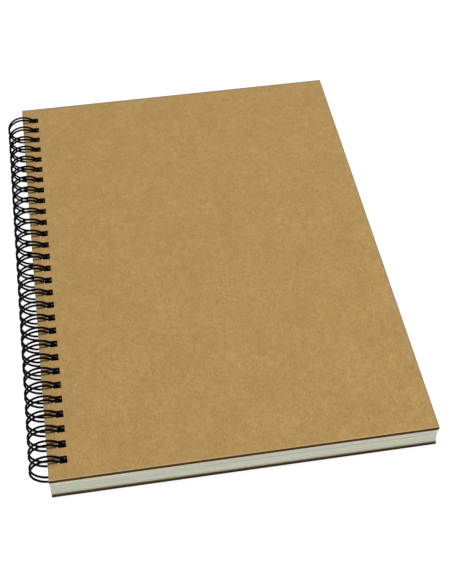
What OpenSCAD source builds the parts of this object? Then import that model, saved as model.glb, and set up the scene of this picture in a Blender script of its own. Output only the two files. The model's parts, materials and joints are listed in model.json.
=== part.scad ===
// Portrait sketchbook: two kraft board covers and a block of loose drawing sheets,
// all punched along the spine and held by one black twin-loop wire.
// X runs from the spine to the fore-edge, Y along the spine towards the head of the
// book and Z up. The origin is the middle of the closed book's base, on the plane that
// the lowest point of the wire touches. Every leaf turns about the loops' own centre line.

/* [Covers] */
// Width of a cover from the spine edge to the fore-edge
cover_w = 180; // [120:1:260]
// Height of a cover along the spine
cover_h = 258; // [150:1:360]
// Thickness of the core board inside a cover
core_t = 1.6; // [1:0.1:2.4]
// Thickness of each kraft liner glued to the core board
liner_t = 0.2; // [0.1:0.05:0.4]

/* [Drawing sheets] */
// Number of drawing sheets
sheet_count = 50; // [20:1:53]
// Thickness of one sheet of drawing paper
sheet_t = 0.185; // [0.12:0.005:0.2]
// Air between two sheets
sheet_gap = 0.01; // [0.005:0.005:0.03]
// How far the sheets stay inside the covers on the three cut sides
sheet_inset = 0.4; // [0:0.1:3]

/* [Binding wire] */
// Distance between two loops, three loops to the inch
loop_pitch = 8.467; // [8.2:0.001:8.7]
// Diameter of the coated wire
wire_d = 1.1; // [0.8:0.05:1.1]
// Distance between the two wires of one loop
pair_gap = 2.4; // [2.4:0.1:2.8]
// Height of the top of the wire's centre line above the front cover
loop_rise = 2.3; // [2.1:0.05:4]
// How far the loops' centre line lies above the middle of the closed book
loop_lift = 0.7; // [0:0.05:0.7]
// Bend radius of the wire between one loop and the next
root_bend_r = 1.2; // [1:0.1:1.4]

/* [Punched holes] */
// Least distance from an end of the spine to the middle of the nearest hole
end_margin = 9.5; // [8:0.5:14]
// Size of a hole along the spine
hole_w = 4; // [4:0.1:5]
// Play between the wire and the two ends of a hole while a leaf turns
hole_play = 0.2; // [0.1:0.05:0.5]
// Distance from the loops' centre line to the spine edge of every leaf
spine_offset = 0.2; // [0.1:0.05:1]

/* [Hidden] */
wire_r = wire_d / 2;

// stack from the table up
cover_t = core_t + 2 * liner_t;
sheet_step = sheet_t + sheet_gap;
block_t = sheet_count * sheet_step + sheet_gap;
book_t = block_t + 2 * cover_t;
loop_r = book_t / 2 + loop_rise - loop_lift;
axis_z = loop_r + wire_r;
back_z = axis_z - loop_lift - book_t / 2;
block_z = back_z + cover_t;
front_z = block_z + block_t;
top_z = front_z + cover_t;

// places along X
book_w = cover_w + spine_offset + loop_r + wire_r;
axis_x = loop_r + wire_r - book_w / 2;
spine_x = axis_x + spine_offset;

// holes end beyond the middle leaf's wire and start where the wire crosses a leaf's outer face
hole_far = loop_r + wire_r + hole_play;
back_hole = hole_near(back_z);
sheet_hole = hole_near(block_z);
front_hole = hole_near(top_z);
loop_count = floor((cover_h - 2 * end_margin) / loop_pitch) + 1;
first_y = -(loop_count - 1) * loop_pitch / 2;

// the wire's closing seam lies under the back cover: the roots point straight down, and a
// gap parts them from the closed tips, in whole degrees counted from +X to +Z
seam_gap = 3;
root_angle = -90;
tip_angle = root_angle + ceil(seam_gap / loop_r * 180 / PI);
root_run = loop_pitch - pair_gap;

kraft = "#b1945c";
core_board = "#5b3f22";
drawing_paper = "#e4e6d6";
black_coat = "#17161a";

function two_digits(n) = n < 10 ? str("0", n) : str(n);
function sheet_name(i) = str("sheet_", two_digits(i));

function loop_y(i) = first_y + i * loop_pitch;

// from the loops' centre line to the spine side of a hole that clears the wire at height z
function hole_near(z) = sqrt(pow(loop_r - wire_r, 2) - pow(z - axis_z, 2)) - hole_play;

// one punched leaf of any thickness, its underside at height z and its holes starting at near
module leaf(z, thickness, inset, near) {
    translate([0, 0, z])
        linear_extrude(height = thickness)
            difference() {
                translate([spine_x, inset - cover_h / 2])
                    square([cover_w - inset, cover_h - 2 * inset]);
                for (i = [0 : loop_count - 1])
                    translate([axis_x + near, loop_y(i) - hole_w / 2])
                        square([hole_far - near, hole_w]);
            }
}

module back_outer_liner() {
    color(kraft) leaf(back_z, liner_t, 0, back_hole);
}

module back_core_board() {
    color(core_board) leaf(back_z + liner_t, core_t, 0, back_hole);
}

module back_inner_liner() {
    color(kraft) leaf(back_z + liner_t + core_t, liner_t, 0, back_hole);
}

module front_inner_liner() {
    color(kraft) leaf(front_z, liner_t, 0, front_hole);
}

module front_core_board() {
    color(core_board) leaf(front_z + liner_t, core_t, 0, front_hole);
}

module front_outer_liner() {
    color(kraft) leaf(front_z + liner_t + core_t, liner_t, 0, front_hole);
}

// sheet 1 lies under the front cover and the last sheet on the back cover
module sheet(i) {
    z = block_z + sheet_gap + (sheet_count - i) * sheet_step;
    color(drawing_paper) leaf(z, sheet_t, sheet_inset, sheet_hole);
}

// a bend of the wire: start and sweep in degrees about Z, in the XY plane
module wire_bend(radius, start, sweep) {
    rotate([0, 0, start])
        rotate_extrude(angle = sweep, $fn = 96)
            translate([radius, 0])
                circle(d = wire_d, $fn = 36);
}

// stands its children on the loops' centre line: local X points outwards, Z along the wire
module on_loop(y, angle) {
    translate([axis_x, y, axis_z])
        rotate([0, -angle, 0])
            translate([loop_r, 0, 0])
                children();
}

// one of the two round wires of a loop, from its closed tip round to its root
module loop_wire(y) {
    translate([axis_x, y, axis_z])
        rotate([90, 0, 0])
            wire_bend(loop_r, tip_angle, 360 + root_angle - tip_angle);
}

// the closed tip that joins the two wires of a loop
module loop_tip(y) {
    on_loop(y, tip_angle)
        rotate([0, 90, 0])
            wire_bend(pair_gap / 2, -90, 180);
}

// the bend that leads from one loop's root to the next loop's
module root_bridge(y) {
    on_loop(y, root_angle) {
        translate([0, root_bend_r, 0])
            rotate([0, 90, 0])
                wire_bend(root_bend_r, 180, 90);
        translate([0, root_bend_r, root_bend_r])
            rotate([-90, 0, 0])
                cylinder(h = root_run - 2 * root_bend_r, d = wire_d, $fn = 36);
        translate([0, root_run - root_bend_r, 0])
            rotate([0, 90, 0])
                wire_bend(root_bend_r, 90, 90);
    }
}

module binding_wire() {
    color(black_coat)
        for (i = [0 : loop_count - 1]) {
            loop_wire(loop_y(i) - pair_gap / 2);
            loop_wire(loop_y(i) + pair_gap / 2);
            loop_tip(loop_y(i));
            if (i < loop_count - 1)
                root_bridge(loop_y(i) + pair_gap / 2);
        }
}

back_outer_liner();
back_core_board();
back_inner_liner();
front_inner_liner();
front_core_board();
front_outer_liner();
binding_wire();
for (i = [1 : sheet_count])
    sheet(i);
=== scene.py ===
import json
import math
import random

import bpy
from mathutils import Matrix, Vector


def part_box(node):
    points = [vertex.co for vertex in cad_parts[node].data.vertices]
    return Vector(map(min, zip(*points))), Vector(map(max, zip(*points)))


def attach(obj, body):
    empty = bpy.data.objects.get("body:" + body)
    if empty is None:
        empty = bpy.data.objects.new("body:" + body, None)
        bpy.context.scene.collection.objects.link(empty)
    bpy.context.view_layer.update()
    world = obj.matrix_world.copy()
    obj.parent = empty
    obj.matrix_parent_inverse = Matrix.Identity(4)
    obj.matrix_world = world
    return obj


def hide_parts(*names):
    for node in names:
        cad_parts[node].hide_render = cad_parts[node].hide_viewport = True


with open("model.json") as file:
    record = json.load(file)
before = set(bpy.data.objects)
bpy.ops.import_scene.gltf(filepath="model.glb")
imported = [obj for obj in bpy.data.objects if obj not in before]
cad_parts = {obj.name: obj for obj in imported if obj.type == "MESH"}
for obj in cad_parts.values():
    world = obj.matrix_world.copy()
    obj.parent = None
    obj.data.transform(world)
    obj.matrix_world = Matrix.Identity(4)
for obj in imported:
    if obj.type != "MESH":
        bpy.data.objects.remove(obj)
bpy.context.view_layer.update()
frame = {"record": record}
random.seed(29)

# ---------------------------------------------------------------- measures

MM = 0.001

LOOP_PITCH = 8.467 * MM     # three loops to the inch
WIRE_R = 0.55 * MM
PAIR_GAP = 2.4 * MM         # between the two wires of one loop
ROOT_BEND_R = 1.2 * MM      # of the wire's bends between one loop and the next
ROOT_ANGLE = -90.0          # of a loop's root, in degrees from +X towards +Z
SEAM_GAP = 3.0 * MM         # from a loop's closed tip to its root
END_MARGIN = 9.5 * MM       # from an end of the spine to the middle of a hole, at least
HOLE_W = 4.0 * MM           # along the spine
HOLE_PLAY = 0.2 * MM        # between the wire and the ends of a hole

SOFT_EDGE = 0.06 * MM       # rounding of the covers' edges
SHEET_SHIFT = (0.08 * MM, 0.09 * MM)    # most that a loose sheet lies off its place, along X and Y
SHEET_SKEW = 0.0004         # most that it lies askew, as a slope
LOOP_LEAN = 0.06 * MM       # most that the far side of a loop leans along the spine

LOOP_STEPS = 76             # straight pieces of tube in one round wire
TIP_STEPS = 10              # in the closed tip
BEND_STEPS = 6              # in one bend between two loops
WIRE_SIDES = 14

behaviour = frame["record"]["behaviour"]
hinge = behaviour["joints"][0]["pos_m"]
axis_x, axis_z = hinge[0], hinge[2]

wire_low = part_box("binding_wire")[0]
back_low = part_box("back_outer_liner")[0]
front_low, front_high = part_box("front_outer_liner")

loop_r = axis_x - wire_low[0] - WIRE_R
tip_angle = ROOT_ANGLE + math.ceil(math.degrees(SEAM_GAP / loop_r))
loop_count = int((front_high[1] - front_low[1] - 2 * END_MARGIN) / LOOP_PITCH) + 1
first_loop_y = -(loop_count - 1) * LOOP_PITCH / 2
loop_ys = [first_loop_y + i * LOOP_PITCH for i in range(loop_count)]
hole_far = axis_x + loop_r + WIRE_R + HOLE_PLAY


def hole_near(z):
    """The spine side of a hole that just clears the wire at height z."""
    return axis_x + math.sqrt((loop_r - WIRE_R) ** 2 - (z - axis_z) ** 2) - HOLE_PLAY


hole_starts = {
    "back": hole_near(back_low[2]),
    "sheet": hole_near(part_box("back_inner_liner")[1][2]),
    "front": hole_near(front_high[2]),
}


# ---------------------------------------------------------------- colours, linear

TAN_DARK, TAN_LIGHT = (0.320, 0.203, 0.066), (0.366, 0.236, 0.086)
TAN_PATCH = (0.277, 0.168, 0.051)
TAN_GRAIN = (0.235, 0.140, 0.045)
FIBRE_DARK, FIBRE_LIGHT = (0.20, 0.115, 0.035), (0.53, 0.375, 0.175)
# painted shade along the side and head rims of the covers, and a painted highlight along the foot rim
RIM_PAINTED_SHADE = (0.225, 0.165, 0.105)
FOOT_PAINTED_HIGHLIGHT = (0.430, 0.305, 0.160)

FRONT_BOARD = (0.054, 0.022, 0.003), (0.120, 0.056, 0.010)
# painted shade: the back cover's cut edge is the same board as the front's, painted darker and greyer
# for the shade it lies in
BACK_BOARD_PAINTED_SHADE = (0.026, 0.016, 0.008), (0.058, 0.037, 0.019)
BOARD_SCORCH = (0.024, 0.013, 0.005)

PAPER_DARK, PAPER_LIGHT = (0.700, 0.695, 0.590), (0.735, 0.730, 0.630)
PAPER_TOOTH = (0.60, 0.59, 0.48)
CUT_DARK, CUT_LIGHT = (0.714, 0.725, 0.581), (0.836, 0.841, 0.700)
# painted shade: darker lines on the sheets' cut edges, for the gaps between sheets
CUT_GAP_SHADE = (0.553, 0.570, 0.449)
CUT_NICK = (0.36, 0.35, 0.26)
# painted shade: near black for the walls deep inside the punched holes of the sheets
HOLE_SHADE_DARK, HOLE_SHADE_LIGHT = (0.030, 0.020, 0.014), (0.080, 0.058, 0.040)

COAT_BLACK, COAT_SCUFF = (0.004, 0.003, 0.004), (0.022, 0.020, 0.019)

TABLE_DARK, TABLE_LIGHT = (0.13, 0.13, 0.13), (0.15, 0.15, 0.15)
WHITE = (1.0, 1.0, 1.0, 1.0)
COOL_LIGHT = (0.84, 0.84, 1.0)


# ---------------------------------------------------------------- node materials

def new_material(name):
    """An empty node material: returns it with its tree and its Principled shader."""
    material = bpy.data.materials.new(name)
    material.use_nodes = True
    tree = material.node_tree
    shader = tree.nodes["Principled BSDF"]
    return material, tree, shader


def object_coords(tree, scale):
    """The piece's own coordinates, stretched by scale, so that a pattern moves with the piece."""
    coords = tree.nodes.new("ShaderNodeTexCoord")
    mapping = tree.nodes.new("ShaderNodeMapping")
    mapping.inputs["Scale"].default_value = scale
    tree.links.new(coords.outputs["Object"], mapping.inputs["Vector"])
    return mapping.outputs["Vector"]


def noise(tree, scale, detail, stretch=(1, 1, 1), turn=0.0, roughness=0.5):
    """A noise value from 0 to 1. scale times stretch counts features per metre along each axis."""
    node = tree.nodes.new("ShaderNodeTexNoise")
    node.inputs["Scale"].default_value = scale
    node.inputs["Detail"].default_value = detail
    node.inputs["Roughness"].default_value = roughness
    vector = object_coords(tree, stretch)
    vector.node.inputs["Rotation"].default_value = (0, 0, turn)
    tree.links.new(vector, node.inputs["Vector"])
    return node.outputs["Fac"]


def remap(tree, value, low, high, to_low=0.0, to_high=1.0):
    """Stretches value so that low..high becomes to_low..to_high, clamped."""
    node = tree.nodes.new("ShaderNodeMapRange")
    node.inputs["From Min"].default_value = low
    node.inputs["From Max"].default_value = high
    node.inputs["To Min"].default_value = to_low
    node.inputs["To Max"].default_value = to_high
    tree.links.new(value, node.inputs["Value"])
    return node.outputs["Result"]


def mix(tree, factor, first, second):
    """Blends two colours; either may be a colour or a socket."""
    node = tree.nodes.new("ShaderNodeMix")
    node.data_type = "RGBA"
    tree.links.new(factor, node.inputs["Factor"])
    for socket, colour in ((node.inputs[6], first), (node.inputs[7], second)):
        if isinstance(colour, tuple):
            socket.default_value = (*colour, 1.0)
        else:
            tree.links.new(colour, socket)
    return node.outputs[2]


def add_bump(tree, shader, height, distance, strength):
    """Bump from a height value; distance is the real depth in metres."""
    node = tree.nodes.new("ShaderNodeBump")
    node.inputs["Distance"].default_value = distance
    node.inputs["Strength"].default_value = strength
    tree.links.new(height, node.inputs["Height"])
    tree.links.new(node.outputs["Normal"], shader.inputs["Normal"])


def arithmetic(tree, operation, first, second=0.0):
    """One sum on two values; either may be a number or a socket."""
    node = tree.nodes.new("ShaderNodeMath")
    node.operation = operation
    for socket, value in zip(node.inputs, (first, second)):
        if isinstance(value, (int, float)):
            socket.default_value = value
        else:
            tree.links.new(value, socket)
    return node.outputs["Value"]


def rim_distances(tree):
    """How far a point of a cover lies inside its rim: first inside the spine edge and the fore-edge,
    or half as far inside the head, whichever is less, and then inside the foot."""
    split = tree.nodes.new("ShaderNodeSeparateXYZ")
    tree.links.new(object_coords(tree, (1, 1, 1)), split.inputs["Vector"])
    middle = (front_low[0] + front_high[0]) / 2
    off_middle = arithmetic(tree, "ABSOLUTE", arithmetic(tree, "SUBTRACT", split.outputs["X"], middle))
    inside_sides = arithmetic(tree, "SUBTRACT", front_high[0] - middle, off_middle)
    inside_head = arithmetic(tree, "SUBTRACT", front_high[1], split.outputs["Y"])
    inside_head = arithmetic(tree, "MULTIPLY", inside_head, 0.5)
    inside_foot = arithmetic(tree, "SUBTRACT", split.outputs["Y"], front_low[1])
    return arithmetic(tree, "MINIMUM", inside_sides, inside_head), inside_foot


def kraft_material():
    """Uncoated kraft liner: warm tan, cloudy, with short dark and light fibres, a painted shade along
    the spine edge, fore-edge and head, and a painted highlight along the foot.
    """
    material, tree, shader = new_material("kraft_liner")
    along_spine = (1, 0.88, 1)
    clouds = remap(tree, noise(tree, 70, 4, (1, 0.7, 1)), 0.3, 0.7)
    colour = mix(tree, clouds, TAN_DARK, TAN_LIGHT)
    patches = noise(tree, 260, 4, along_spine, roughness=0.6)
    patches = remap(tree, patches, 0.30, 0.64, 0.70, 0.0)
    colour = mix(tree, patches, colour, TAN_PATCH)
    grain = noise(tree, 1080, 4, along_spine, roughness=0.65)
    colour = mix(tree, remap(tree, grain, 0.34, 0.50, 0.66, 0.0), colour, TAN_GRAIN)
    for turn, stretch, tint in ((0.35, (2600, 420, 2600), FIBRE_DARK),
                                (1.9, (2300, 380, 2300), FIBRE_DARK),
                                (1.1, (2500, 400, 2500), FIBRE_LIGHT),
                                (2.7, (2700, 450, 2700), FIBRE_LIGHT)):
        fibre = noise(tree, 1.0, 1.5, stretch, turn)
        colour = mix(tree, remap(tree, fibre, 0.64, 0.74, 0.0, 0.55), colour, tint)
    side_shade_rim, foot_highlight_rim = rim_distances(tree)
    # painted shade: a greyish darkening of the kraft close to the spine edge, fore-edge and head
    side_shade_rim = remap(tree, side_shade_rim, 0.3 * MM, 1.0 * MM, 0.75, 0.0)
    colour = mix(tree, side_shade_rim, colour, RIM_PAINTED_SHADE)
    # painted highlight: a pale line of the kraft close to the foot edge
    foot_highlight_rim = remap(tree, foot_highlight_rim, 0.3 * MM, 0.8 * MM, 0.5, 0.0)
    colour = mix(tree, foot_highlight_rim, colour, FOOT_PAINTED_HIGHLIGHT)
    tree.links.new(colour, shader.inputs["Base Color"])
    tree.links.new(remap(tree, grain, 0.3, 0.7, 0.70, 0.85), shader.inputs["Roughness"])
    shader.inputs["Specular IOR Level"].default_value = 0.15
    add_bump(tree, shader, grain, 0.04 * MM, 0.6)
    return material


def cut_board_material(name, dark, light):
    """The cut edge of a cover: browned board with its plies running along the edge."""
    material, tree, shader = new_material(name)
    plies = noise(tree, 1.0, 3, (160, 160, 5200))
    scorch = noise(tree, 420, 3)
    colour = mix(tree, remap(tree, plies, 0.35, 0.65), dark, light)
    colour = mix(tree, remap(tree, scorch, 0.5, 0.75, 0.0, 0.6), colour, BOARD_SCORCH)
    tree.links.new(colour, shader.inputs["Base Color"])
    shader.inputs["Roughness"].default_value = 0.9
    shader.inputs["Specular IOR Level"].default_value = 0.05
    add_bump(tree, shader, plies, 0.06 * MM, 0.8)
    return material


def paper_material():
    """The face of a drawing sheet: off-white cartridge paper with a fine tooth."""
    material, tree, shader = new_material("drawing_paper_face")
    tooth = noise(tree, 2400, 4, roughness=0.6)
    clouds = noise(tree, 60, 3)
    colour = mix(tree, remap(tree, clouds, 0.3, 0.7), PAPER_DARK, PAPER_LIGHT)
    colour = mix(tree, remap(tree, tooth, 0.25, 0.45, 0.25, 0.0), colour, PAPER_TOOTH)
    tree.links.new(colour, shader.inputs["Base Color"])
    shader.inputs["Roughness"].default_value = 0.9
    shader.inputs["Specular IOR Level"].default_value = 0.15
    add_bump(tree, shader, tooth, 0.03 * MM, 0.5)
    return material


def paper_edge_material():
    """The cut edges of the sheets: bands of slightly different tone, with nicks, and darker lines that
    are painted shade for the gaps between sheets.
    """
    material, tree, shader = new_material("drawing_paper_edge")
    lines = noise(tree, 1.0, 2, (6, 6, 2600))
    groups = noise(tree, 1.0, 2, (10, 10, 620))
    nicks = noise(tree, 1.0, 3, (700, 700, 5200))
    colour = mix(tree, remap(tree, groups, 0.35, 0.65), CUT_DARK, CUT_LIGHT)
    # painted shade for the gaps between sheets
    colour = mix(tree, remap(tree, lines, 0.42, 0.62, 0.0, 0.55), colour, CUT_GAP_SHADE)
    colour = mix(tree, remap(tree, nicks, 0.60, 0.75, 0.0, 0.5), colour, CUT_NICK)
    tree.links.new(colour, shader.inputs["Base Color"])
    shader.inputs["Roughness"].default_value = 0.95
    shader.inputs["Specular IOR Level"].default_value = 0.1
    add_bump(tree, shader, nicks, 0.05 * MM, 0.7)
    return material


def punched_hole_shade_material():
    """The walls of the punched holes in the sheets: compressed, and painted near black as painted shade
    for the dark inside of the holes.
    """
    material, tree, shader = new_material("punched_hole_wall")
    streaks = noise(tree, 1.0, 3, (900, 900, 4200))
    colour = mix(tree, remap(tree, streaks, 0.35, 0.65), HOLE_SHADE_DARK, HOLE_SHADE_LIGHT)
    tree.links.new(colour, shader.inputs["Base Color"])
    shader.inputs["Roughness"].default_value = 0.95
    shader.inputs["Specular IOR Level"].default_value = 0.1
    add_bump(tree, shader, streaks, 0.05 * MM, 0.7)
    return material


def coated_wire_material():
    """Steel wire in a black nylon coat, faintly uneven, with small scuffs."""
    material, tree, shader = new_material("black_coated_wire")
    flow = noise(tree, 900, 2)
    scuffs = noise(tree, 3200, 3)
    colour = mix(tree, remap(tree, scuffs, 0.62, 0.78), COAT_BLACK, COAT_SCUFF)
    tree.links.new(colour, shader.inputs["Base Color"])
    tree.links.new(remap(tree, scuffs, 0.5, 0.8, 0.28, 0.45), shader.inputs["Roughness"])
    shader.inputs["Specular IOR Level"].default_value = 0.01
    add_bump(tree, shader, flow, 0.04 * MM, 0.5)
    return material


KRAFT = kraft_material()
CUT_BOARDS = {
    "front": cut_board_material("front_cut_board_edge", *FRONT_BOARD),
    # the back cover's edge colours carry painted shade
    "back": cut_board_material("back_cut_board_edge", *BACK_BOARD_PAINTED_SHADE),
}
PAPER = paper_material()
PAPER_EDGE = paper_edge_material()
PUNCHED_HOLE_SHADE = punched_hole_shade_material()
COATED_WIRE = coated_wire_material()


# ---------------------------------------------------------------- leaves

# a leaf's material slots
FACE, OUTER_EDGE, HOLE_WALL = 0, 1, 2


def make_piece(name, vertices, faces, face_slots, materials):
    """A mesh object in the scene, with one material slot number for each face."""
    mesh = bpy.data.meshes.new(name)
    mesh.from_pydata(vertices, [], faces)
    for material in materials:
        mesh.materials.append(material)
    mesh.polygons.foreach_set("material_index", face_slots)
    mesh.validate()
    mesh.update()
    piece = bpy.data.objects.new(name, mesh)
    bpy.context.collection.objects.link(piece)
    return piece


def punched_leaf(name, kind, low, high, materials, shift=(0.0, 0.0), skew=0.0):
    """A punched leaf as a grid of cells with the holes left out. shift and skew move it in its plane."""
    xs = [low[0], hole_starts[kind], hole_far, high[0]]
    ys = [low[1]]
    for y in loop_ys:
        ys += [y - HOLE_W / 2, y + HOLE_W / 2]
    ys.append(high[1])
    columns, rows = len(xs), len(ys)

    def solid(i, j):
        inside = 0 <= i < columns - 1 and 0 <= j < rows - 1
        hole = i == 1 and j % 2 == 1
        return inside and not hole

    def corner(x, y, z):
        return (x + shift[0] - skew * y, y + shift[1] + skew * (x - axis_x), z)

    vertices = [corner(x, y, z) for z in (low[2], high[2]) for y in ys for x in xs]
    layer = columns * rows
    faces, slots = [], []
    for j in range(rows - 1):
        for i in range(columns - 1):
            if not solid(i, j):
                continue
            a = j * columns + i
            b, c, d = a + 1, a + columns + 1, a + columns
            faces += [(a, d, c, b), (a + layer, b + layer, c + layer, d + layer)]
            slots += [FACE, FACE]
            for p, q, ni, nj in ((a, b, i, j - 1), (b, c, i + 1, j),
                                 (c, d, i, j + 1), (d, a, i - 1, j)):
                if solid(ni, nj):
                    continue
                outside = ni < 0 or nj < 0 or ni > columns - 2 or nj > rows - 2
                faces.append((p, q, q + layer, p + layer))
                slots.append(OUTER_EDGE if outside else HOLE_WALL)
    return make_piece(name, vertices, faces, slots, materials)


def soften_edges(piece, width):
    """Rounds every sharp edge of a piece a little."""
    bevel = piece.modifiers.new("softened edges", "BEVEL")
    bevel.width = width
    bevel.segments = 2
    bevel.limit_method = "ANGLE"
    bevel.angle_limit = math.radians(40)


def cover_ply(node, body):
    """One ply of a cover, a liner or the core board, with softened edges."""
    low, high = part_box(node)
    cover = node.split("_")[0]
    cut = CUT_BOARDS[cover]
    face = cut if "core" in node else KRAFT
    piece = punched_leaf("visual_" + node, cover, low, high, (face, cut, cut))
    soften_edges(piece, SOFT_EDGE)
    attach(piece, body)
    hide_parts(node)


def paper_sheet(node, body):
    """One drawing sheet, lying a hair off its neighbours as loose sheets do."""
    low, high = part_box(node)
    shift = [random.uniform(-most, most) for most in SHEET_SHIFT]
    skew = random.uniform(-SHEET_SKEW, SHEET_SKEW)
    materials = (PAPER, PAPER_EDGE, PUNCHED_HOLE_SHADE)
    piece = punched_leaf("visual_" + node, "sheet", low, high, materials, shift, skew)
    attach(piece, body)
    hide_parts(node)


# ---------------------------------------------------------------- binding wire

def ring_point(y, angle, along=0.0):
    """A point on a loop at an angle in degrees, moved by along in the direction the wire runs."""
    turn = math.radians(angle)
    x = axis_x + loop_r * math.cos(turn) - along * math.sin(turn)
    z = axis_z + loop_r * math.sin(turn) + along * math.cos(turn)
    return Vector((x, y, z))


def loop_path(y, lean):
    """One double loop: from its root round to the closed tip and back to the root."""
    root = 360 + ROOT_ANGLE

    def leaning(angle, side):
        return y + side * PAIR_GAP / 2 + lean * math.sin(math.radians(angle - root) / 2)

    angles = [root + (tip_angle - root) * i / LOOP_STEPS for i in range(LOOP_STEPS + 1)]
    points = [ring_point(leaning(angle, -1), angle) for angle in angles]
    tip_y = leaning(tip_angle, 0)
    for i in range(1, TIP_STEPS):
        turn = math.pi * i / TIP_STEPS
        points.append(ring_point(tip_y - PAIR_GAP / 2 * math.cos(turn), tip_angle,
                                 -PAIR_GAP / 2 * math.sin(turn)))
    points += [ring_point(leaning(angle, 1), angle) for angle in reversed(angles)]
    return points


def bridge_path(y):
    """From one loop's root along the seam to the next loop's root: a bend, a straight and a bend."""
    start = y + PAIR_GAP / 2
    end = y + LOOP_PITCH - PAIR_GAP / 2
    turns = [math.radians(90 * i / BEND_STEPS) for i in range(1, BEND_STEPS + 1)]
    bend = [(ROOT_BEND_R * (1 - math.cos(turn)), ROOT_BEND_R * math.sin(turn)) for turn in turns]
    points = [ring_point(start + aside, ROOT_ANGLE, along) for aside, along in bend]
    points += [ring_point(end - aside, ROOT_ANGLE, along) for aside, along in reversed(bend)]
    return points


def swept_tube(name, path, radius, sides, material):
    """A round tube along a path, closed by flat ends, with no twist from point to point."""
    vertices, faces = [], []
    normal = (path[1] - path[0]).normalized().orthogonal().normalized()
    for i, point in enumerate(path):
        ahead = path[min(i + 1, len(path) - 1)]
        behind = path[max(i - 1, 0)]
        tangent = (ahead - behind).normalized()
        normal = (normal - tangent * normal.dot(tangent)).normalized()
        side = tangent.cross(normal)
        for k in range(sides):
            turn = 2 * math.pi * k / sides
            vertices.append(point + radius * (normal * math.cos(turn) + side * math.sin(turn)))
        if i == 0:
            continue
        here, last = i * sides, (i - 1) * sides
        for k in range(sides):
            n = (k + 1) % sides
            faces.append((last + k, last + n, here + n, here + k))
    faces.append(tuple(reversed(range(sides))))
    end = (len(path) - 1) * sides
    faces.append(tuple(range(end, end + sides)))
    piece = make_piece(name, vertices, faces, [0] * len(faces), (material,))
    piece.data.polygons.foreach_set("use_smooth", [len(face) == 4 for face in faces])
    return piece


def binding_wire():
    """The whole wire as one tube: double loops joined at their roots."""
    path = []
    for i, y in enumerate(loop_ys):
        path += loop_path(y, random.uniform(-LOOP_LEAN, LOOP_LEAN))
        if i < loop_count - 1:
            path += bridge_path(y)
    piece = swept_tube("visual_binding_wire", path, WIRE_R, WIRE_SIDES, COATED_WIRE)
    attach(piece, "back_cover")
    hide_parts("binding_wire")


for body, nodes in behaviour["bodies"].items():
    for node in nodes:
        if node.startswith("sheet_"):
            paper_sheet(node, body)
        elif node != "binding_wire":
            cover_ply(node, body)
binding_wire()


# ---------------------------------------------------------------- stage, light and camera

def floor():
    """A plain pale table with a glow that makes it look white, wide enough to fill every view."""
    material, tree, shader = new_material("pale_table")
    colour = mix(tree, noise(tree, 3, 2), TABLE_DARK, TABLE_LIGHT)
    tree.links.new(colour, shader.inputs["Base Color"])
    shader.inputs["Roughness"].default_value = 0.9
    shader.inputs["Specular IOR Level"].default_value = 0.1
    shader.inputs["Emission Color"].default_value = WHITE
    shader.inputs["Emission Strength"].default_value = 0.91
    reach = 60.0
    corners = [(-reach, -reach, 0), (reach, -reach, 0), (reach, reach, 0), (-reach, reach, 0)]
    piece = make_piece("table_top", corners, [(0, 1, 2, 3)], [0], (material,))


def stand_at(name, data, place, target):
    """Puts a light or a camera into the scene, level and looking at a point."""
    thing = bpy.data.objects.new(name, data)
    thing.location = place
    bpy.context.collection.objects.link(thing)
    direction = Vector(target) - thing.location
    thing.rotation_euler = direction.to_track_quat("-Z", "Y").to_euler()
    return thing


def studio_world():
    """A pale surround that lights the book, seen as plain white above the table's far edge."""
    world = bpy.data.worlds.new("studio")
    world.use_nodes = True
    tree = world.node_tree
    surround = tree.nodes["Background"]
    backdrop = tree.nodes.new("ShaderNodeBackground")
    for background, strength in ((surround, 0.49), (backdrop, 1.0)):
        background.inputs["Color"].default_value = WHITE
        background.inputs["Strength"].default_value = strength
    path = tree.nodes.new("ShaderNodeLightPath")
    blend = tree.nodes.new("ShaderNodeMixShader")
    tree.links.new(path.outputs["Is Camera Ray"], blend.inputs["Fac"])
    tree.links.new(surround.outputs["Background"], blend.inputs[1])
    tree.links.new(backdrop.outputs["Background"], blend.inputs[2])
    tree.links.new(blend.outputs["Shader"], tree.nodes["World Output"].inputs["Surface"])
    bpy.context.scene.world = world


def studio_lights():
    """A soft key overhead and a weak cool fill from the fore-edge side."""
    key = bpy.data.lights.new("key", "SUN")
    key.energy = 2.22
    key.angle = math.radians(4)
    stand_at("key", key, (0.03, 0.03, 1.0), (0, 0, 0))
    fill = bpy.data.lights.new("fill", "AREA")
    fill.shape = "SQUARE"
    fill.size = 0.4
    fill.energy = 3.0
    fill.color = COOL_LIGHT
    stand_at("fill", fill, (0.75, -0.05, 0.55), (0, 0, 0))


def camera():
    """Looks down from beyond the foot of the book, a little from the spine side."""
    azimuth = math.radians(9.3)
    elevation = math.radians(48.74)
    distance = 0.594
    target = Vector((0.0115, -0.0257, 0.009))
    back = Vector((-math.sin(azimuth) * math.cos(elevation),
                   -math.cos(azimuth) * math.cos(elevation),
                   math.sin(elevation)))
    lens = bpy.data.cameras.new("camera")
    lens.sensor_fit = "HORIZONTAL"
    lens.sensor_width = 36
    lens.lens = 91.6
    lens.clip_start = 0.01
    bpy.context.scene.camera = stand_at("camera", lens, target + back * distance, target)


floor()
studio_world()
studio_lights()
camera()
bpy.context.scene.view_settings.view_transform = "Standard"
